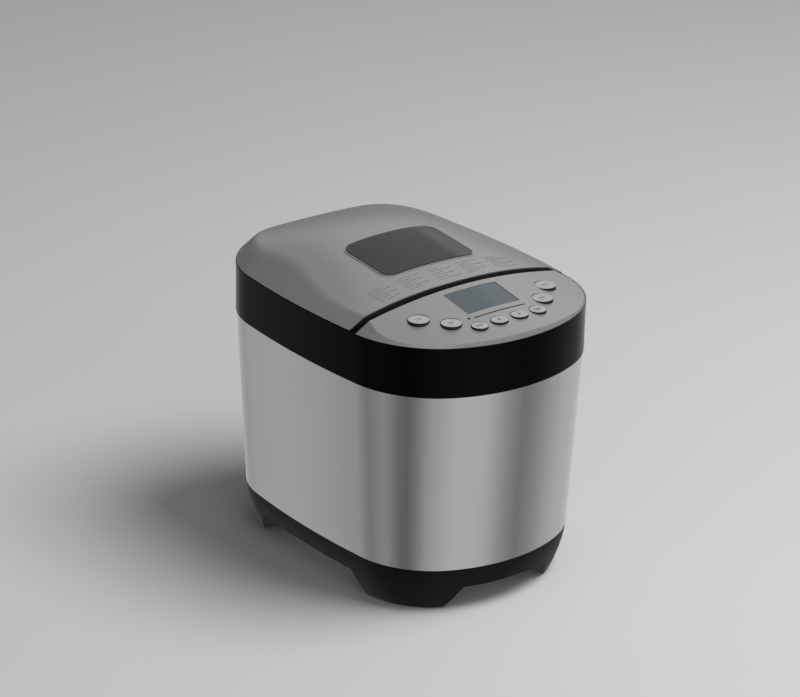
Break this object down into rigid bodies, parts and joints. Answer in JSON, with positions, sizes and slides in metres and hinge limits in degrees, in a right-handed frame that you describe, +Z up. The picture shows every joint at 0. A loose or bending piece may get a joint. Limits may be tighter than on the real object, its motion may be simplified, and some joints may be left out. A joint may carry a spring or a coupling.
{
  "type": "bread machine",
  "caption": "Free-standing bread machine with a brushed wrap, dark collar and footed base, domed hinged lid with window, and a push-button panel with display.",
  "frame": {"origin": "on the table, under the middle of the body", "axes": "+Z up, +Y towards the lid hinge at the back, -Y towards the control panel at the front"},
  "size_m": [0.24, 0.3248, 0.2854],
  "materials": {
    "wrap_steel": "vertical brushed",
    "collar_black": "gloss",
    "base_black": "satin",
    "silver_paint": "satin",
    "button_silver": "satin",
    "window_glass": "gloss",
    "inner_glass": "gloss",
    "bright_trim": "polished",
    "display_lens": "gloss",
    "black_moulding": "satin",
    "pad_rubber": "matte",
    "silicone": "matte",
    "circuit_board": "satin",
    "plated_sheet": "plated",
    "machine_steel": "turned",
    "heater_tube": "heat tinted",
    "ceramic": "matte",
    "bronze": "satin",
    "cast_alloy": "cast",
    "nylon": "satin",
    "motor_case": "satin",
    "nonstick": "speckled non-stick"
  },
  "bodies": {
    "housing": {"base_shell": "base_black", "bearing_bushes": "bronze", "bottom_cover": "plated_sheet", "buzzer": "black_moulding", "case_screws": "machine_steel", "chamber_liner": "plated_sheet", "chassis": "plated_sheet", "control_board": "circuit_board", "control_panel": "silver_paint", "cord_bush": "base_black", "drive_belt": "pad_rubber", "element_bushes": "ceramic", "element_clips": "plated_sheet", "foot_pads": "pad_rubber", "gap_trim": "base_black", "heat_shield": "plated_sheet", "heating_element": "heater_tube", "hinge_pins": "machine_steel", "indicator_lamp": "black_moulding", "indicator_strip": "black_moulding", "lcd_lens": "display_lens", "lcd_module": "black_moulding", "motor": "motor_case", "motor_bracket": "machine_steel", "motor_capacitor": "motor_case", "pan_seat": "plated_sheet", "power_board": "circuit_board", "shaft_housing": "cast_alloy", "steel_wrap": "wrap_steel", "tact_switches": "black_moulding", "temperature_sensor": "machine_steel", "upper_collar": "collar_black"},
    "lid": {"lid_shell": "silver_paint", "lid_window": "window_glass", "window_trim": "bright_trim", "lid_liner": "plated_sheet", "inner_window": "inner_glass", "lid_seal": "silicone", "hinge_knuckles": "nylon"},
    "drive": {"drive_shaft": "machine_steel", "drive_coupler": "cast_alloy", "large_pulley": "nylon"},
    "motor_rotor": {"motor_shaft": "machine_steel", "motor_pulley": "nylon"},
    "pan": {"bread_pan": "nonstick", "pan_base_ring": "cast_alloy", "pan_shaft_seal": "pad_rubber", "handle_ears": "cast_alloy"},
    "pan_spindle": {"pan_shaft": "machine_steel"},
    "paddle": {"kneading_paddle": "nonstick"},
    "bail": {"pan_handle": "machine_steel"},
    "colour_button_body": {"colour_button": "button_silver"},
    "keep_warm_button_body": {"keep_warm_button": "button_silver"},
    "lamp_button_body": {"lamp_button": "button_silver"},
    "menu_button_body": {"menu_button": "button_silver"},
    "size_button_body": {"size_button": "button_silver"},
    "start_button_body": {"start_button": "button_silver"},
    "timer_down_button_body": {"timer_down_button": "button_silver"},
    "timer_up_button_body": {"timer_up_button": "button_silver"}
  },
  "joints": [
    {"name": "lid_hinge", "type": "hinge", "parent": "housing", "child": "lid", "pos_m": [0, 0.15, 0.257], "axis": [-1, 0, 0], "range_deg": [0, 92]},
    {"name": "drive_spin", "type": "hinge", "parent": "housing", "child": "drive", "pos_m": [0, 0.034, 0.039], "axis": [0, 0, 1], "continuous": true},
    {"name": "motor_spin", "type": "hinge", "parent": "housing", "child": "motor_rotor", "pos_m": [0, -0.1, 0.039], "axis": [0, 0, 1], "continuous": true},
    {"name": "pan_lift", "type": "slide", "parent": "housing", "child": "pan", "axis": [0, 0, 1], "range_m": [0, 0.01]},
    {"name": "spindle_spin", "type": "hinge", "parent": "pan", "child": "pan_spindle", "pos_m": [0, 0.034, 0.09], "axis": [0, 0, 1], "continuous": true},
    {"name": "paddle_lift", "type": "slide", "parent": "pan_spindle", "child": "paddle", "axis": [0, 0, 1], "range_m": [0, 0.025]},
    {"name": "bail_swing", "type": "hinge", "parent": "pan", "child": "bail", "pos_m": [0, 0.034, 0.218], "axis": [-1, 0, 0], "range_deg": [0, 10]},
    {"name": "colour_button_press", "type": "slide", "parent": "housing", "child": "colour_button_body", "axis": [0, 0, -1], "range_m": [0, 0.001], "stiffness_N_per_m": 300, "springref_m": -0.0005},
    {"name": "keep_warm_button_press", "type": "slide", "parent": "housing", "child": "keep_warm_button_body", "axis": [0, 0, -1], "range_m": [0, 0.001], "stiffness_N_per_m": 300, "springref_m": -0.0005},
    {"name": "lamp_button_press", "type": "slide", "parent": "housing", "child": "lamp_button_body", "axis": [0, 0, -1], "range_m": [0, 0.001], "stiffness_N_per_m": 300, "springref_m": -0.0005},
    {"name": "menu_button_press", "type": "slide", "parent": "housing", "child": "menu_button_body", "axis": [0, 0, -1], "range_m": [0, 0.001], "stiffness_N_per_m": 300, "springref_m": -0.0005},
    {"name": "size_button_press", "type": "slide", "parent": "housing", "child": "size_button_body", "axis": [0, 0, -1], "range_m": [0, 0.001], "stiffness_N_per_m": 300, "springref_m": -0.0005},
    {"name": "start_button_press", "type": "slide", "parent": "housing", "child": "start_button_body", "axis": [0, 0, -1], "range_m": [0, 0.001], "stiffness_N_per_m": 300, "springref_m": -0.0005},
    {"name": "timer_down_button_press", "type": "slide", "parent": "housing", "child": "timer_down_button_body", "axis": [0, 0, -1], "range_m": [0, 0.001], "stiffness_N_per_m": 300, "springref_m": -0.0005},
    {"name": "timer_up_button_press", "type": "slide", "parent": "housing", "child": "timer_up_button_body", "axis": [0, 0, -1], "range_m": [0, 0.001], "stiffness_N_per_m": 300, "springref_m": -0.0005}
  ],
  "couplings": [
    {"joint": "motor_spin", "follows": "drive_spin", "ratio": 4.9423},
    {"joint": "spindle_spin", "follows": "drive_spin", "ratio": 1}
  ]
}
